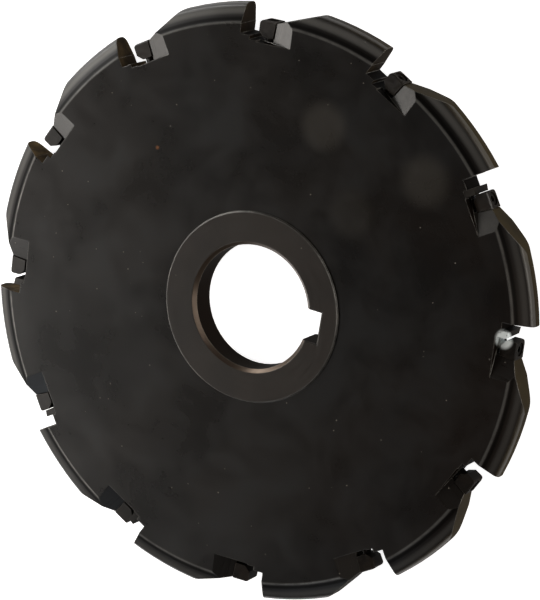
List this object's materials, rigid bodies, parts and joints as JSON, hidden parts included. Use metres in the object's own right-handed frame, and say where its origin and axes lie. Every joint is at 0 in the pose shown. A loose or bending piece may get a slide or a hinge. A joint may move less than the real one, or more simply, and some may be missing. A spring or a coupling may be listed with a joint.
{
  "type": "inserted-blade disc milling cutter",
  "caption": "Thin arbor-mounted disc milling cutter body with wedge-clamped blade pockets round its rim, a keyed bore and a raised hub ring; blades not fitted.",
  "frame": {"origin": "on the spindle axis, in the plane of the hub back face", "axes": "+Z along the spindle axis towards the front face with the tall hub ring; +X through the middle of the keyway; the teeth cut clockwise seen from +Z"},
  "size_m": [0.2432, 0.2432, 0.0135],
  "materials": {
    "body": "black oxide, ground faces, worn to bare steel along the edges",
    "wedge": "black oxide, satin",
    "screw": "black oxide, satin",
    "seat": "black oxide, satin"
  },
  "bodies": {
    "cutter": {"cutter_body": "body", "seat_plate_01": "seat", "seat_plate_05": "seat", "seat_plate_06": "seat", "seat_plate_07": "seat", "seat_plate_12": "seat"},
    "wedge_01_body": {"wedge_01": "wedge"},
    "screw_01_body": {"wedge_screw_01": "screw"},
    "wedge_02_body": {"wedge_02": "wedge"},
    "screw_02_body": {"wedge_screw_02": "screw"},
    "wedge_03_body": {"wedge_03": "wedge"},
    "screw_03_body": {"wedge_screw_03": "screw"},
    "wedge_04_body": {"wedge_04": "wedge"},
    "screw_04_body": {"wedge_screw_04": "screw"},
    "wedge_05_body": {"wedge_05": "wedge"},
    "screw_05_body": {"wedge_screw_05": "screw"},
    "wedge_06_body": {"wedge_06": "wedge"},
    "screw_06_body": {"wedge_screw_06": "screw"},
    "wedge_07_body": {"wedge_07": "wedge"},
    "screw_07_body": {"wedge_screw_07": "screw"},
    "wedge_08_body": {"wedge_08": "wedge"},
    "screw_08_body": {"wedge_screw_08": "screw"},
    "wedge_09_body": {"wedge_09": "wedge"},
    "screw_09_body": {"wedge_screw_09": "screw"},
    "wedge_10_body": {"wedge_10": "wedge"},
    "screw_10_body": {"wedge_screw_10": "screw"},
    "wedge_11_body": {"wedge_11": "wedge"},
    "screw_11_body": {"wedge_screw_11": "screw"},
    "wedge_12_body": {"wedge_12": "wedge"},
    "screw_12_body": {"wedge_screw_12": "screw"}
  },
  "joints": [
    {"name": "wedge_01_slide", "type": "slide", "parent": "cutter", "child": "wedge_01_body", "axis": [0.9991, 0.0419, 0], "range_m": [0, 0.002]},
    {"name": "screw_01_turn", "type": "hinge", "parent": "wedge_01_body", "child": "screw_01_body", "pos_m": [0.11391, 0.01404, 0.0065], "axis": [0.9991, 0.0419, 0], "range_deg": [0, 1030]},
    {"name": "wedge_02_slide", "type": "slide", "parent": "cutter", "child": "wedge_02_body", "axis": [0.8862, -0.4633, 0], "range_m": [0, 0.002]},
    {"name": "screw_02_turn", "type": "hinge", "parent": "wedge_02_body", "child": "screw_02_body", "pos_m": [0.10567, -0.0448, 0.0065], "axis": [0.8862, -0.4633, 0], "range_deg": [0, 1030]},
    {"name": "wedge_03_slide", "type": "slide", "parent": "cutter", "child": "wedge_03_body", "axis": [0.5358, -0.8443, 0], "range_m": [0, 0.002]},
    {"name": "screw_03_turn", "type": "hinge", "parent": "wedge_03_body", "child": "screw_03_body", "pos_m": [0.06912, -0.09163, 0.0065], "axis": [0.5358, -0.8443, 0], "range_deg": [0, 1030]},
    {"name": "wedge_04_slide", "type": "slide", "parent": "cutter", "child": "wedge_04_body", "axis": [0.0419, -0.9991, 0], "range_m": [0, 0.002]},
    {"name": "screw_04_turn", "type": "hinge", "parent": "wedge_04_body", "child": "screw_04_body", "pos_m": [0.01404, -0.11391, 0.0065], "axis": [0.0419, -0.9991, 0], "range_deg": [0, 1030]},
    {"name": "wedge_05_slide", "type": "slide", "parent": "cutter", "child": "wedge_05_body", "axis": [-0.4633, -0.8862, 0], "range_m": [0, 0.002]},
    {"name": "screw_05_turn", "type": "hinge", "parent": "wedge_05_body", "child": "screw_05_body", "pos_m": [-0.0448, -0.10567, 0.0065], "axis": [-0.4633, -0.8862, 0], "range_deg": [0, 1030]},
    {"name": "wedge_06_slide", "type": "slide", "parent": "cutter", "child": "wedge_06_body", "axis": [-0.8443, -0.5358, 0], "range_m": [0, 0.002]},
    {"name": "screw_06_turn", "type": "hinge", "parent": "wedge_06_body", "child": "screw_06_body", "pos_m": [-0.09163, -0.06912, 0.0065], "axis": [-0.8443, -0.5358, 0], "range_deg": [0, 1030]},
    {"name": "wedge_07_slide", "type": "slide", "parent": "cutter", "child": "wedge_07_body", "axis": [-0.9991, -0.0419, 0], "range_m": [0, 0.002]},
    {"name": "screw_07_turn", "type": "hinge", "parent": "wedge_07_body", "child": "screw_07_body", "pos_m": [-0.11391, -0.01404, 0.0065], "axis": [-0.9991, -0.0419, 0], "range_deg": [0, 1030]},
    {"name": "wedge_08_slide", "type": "slide", "parent": "cutter", "child": "wedge_08_body", "axis": [-0.8862, 0.4633, 0], "range_m": [0, 0.002]},
    {"name": "screw_08_turn", "type": "hinge", "parent": "wedge_08_body", "child": "screw_08_body", "pos_m": [-0.10567, 0.0448, 0.0065], "axis": [-0.8862, 0.4633, 0], "range_deg": [0, 1030]},
    {"name": "wedge_09_slide", "type": "slide", "parent": "cutter", "child": "wedge_09_body", "axis": [-0.5358, 0.8443, 0], "range_m": [0, 0.002]},
    {"name": "screw_09_turn", "type": "hinge", "parent": "wedge_09_body", "child": "screw_09_body", "pos_m": [-0.06912, 0.09163, 0.0065], "axis": [-0.5358, 0.8443, 0], "range_deg": [0, 1030]},
    {"name": "wedge_10_slide", "type": "slide", "parent": "cutter", "child": "wedge_10_body", "axis": [-0.0419, 0.9991, 0], "range_m": [0, 0.002]},
    {"name": "screw_10_turn", "type": "hinge", "parent": "wedge_10_body", "child": "screw_10_body", "pos_m": [-0.01404, 0.11391, 0.0065], "axis": [-0.0419, 0.9991, 0], "range_deg": [0, 1030]},
    {"name": "wedge_11_slide", "type": "slide", "parent": "cutter", "child": "wedge_11_body", "axis": [0.4633, 0.8862, 0], "range_m": [0, 0.002]},
    {"name": "screw_11_turn", "type": "hinge", "parent": "wedge_11_body", "child": "screw_11_body", "pos_m": [0.0448, 0.10567, 0.0065], "axis": [0.4633, 0.8862, 0], "range_deg": [0, 1030]},
    {"name": "wedge_12_slide", "type": "slide", "parent": "cutter", "child": "wedge_12_body", "axis": [0.8443, 0.5358, 0], "range_m": [0, 0.002]},
    {"name": "screw_12_turn", "type": "hinge", "parent": "wedge_12_body", "child": "screw_12_body", "pos_m": [0.09163, 0.06912, 0.0065], "axis": [0.8443, 0.5358, 0], "range_deg": [0, 1030]}
  ],
  "couplings": [
    {"joint": "screw_01_turn", "follows": "wedge_01_slide", "rad_per_m": 8976},
    {"joint": "screw_02_turn", "follows": "wedge_02_slide", "rad_per_m": 8976},
    {"joint": "screw_03_turn", "follows": "wedge_03_slide", "rad_per_m": 8976},
    {"joint": "screw_04_turn", "follows": "wedge_04_slide", "rad_per_m": 8976},
    {"joint": "screw_05_turn", "follows": "wedge_05_slide", "rad_per_m": 8976},
    {"joint": "screw_06_turn", "follows": "wedge_06_slide", "rad_per_m": 8976},
    {"joint": "screw_07_turn", "follows": "wedge_07_slide", "rad_per_m": 8976},
    {"joint": "screw_08_turn", "follows": "wedge_08_slide", "rad_per_m": 8976},
    {"joint": "screw_09_turn", "follows": "wedge_09_slide", "rad_per_m": 8976},
    {"joint": "screw_10_turn", "follows": "wedge_10_slide", "rad_per_m": 8976},
    {"joint": "screw_11_turn", "follows": "wedge_11_slide", "rad_per_m": 8976},
    {"joint": "screw_12_turn", "follows": "wedge_12_slide", "rad_per_m": 8976}
  ]
}
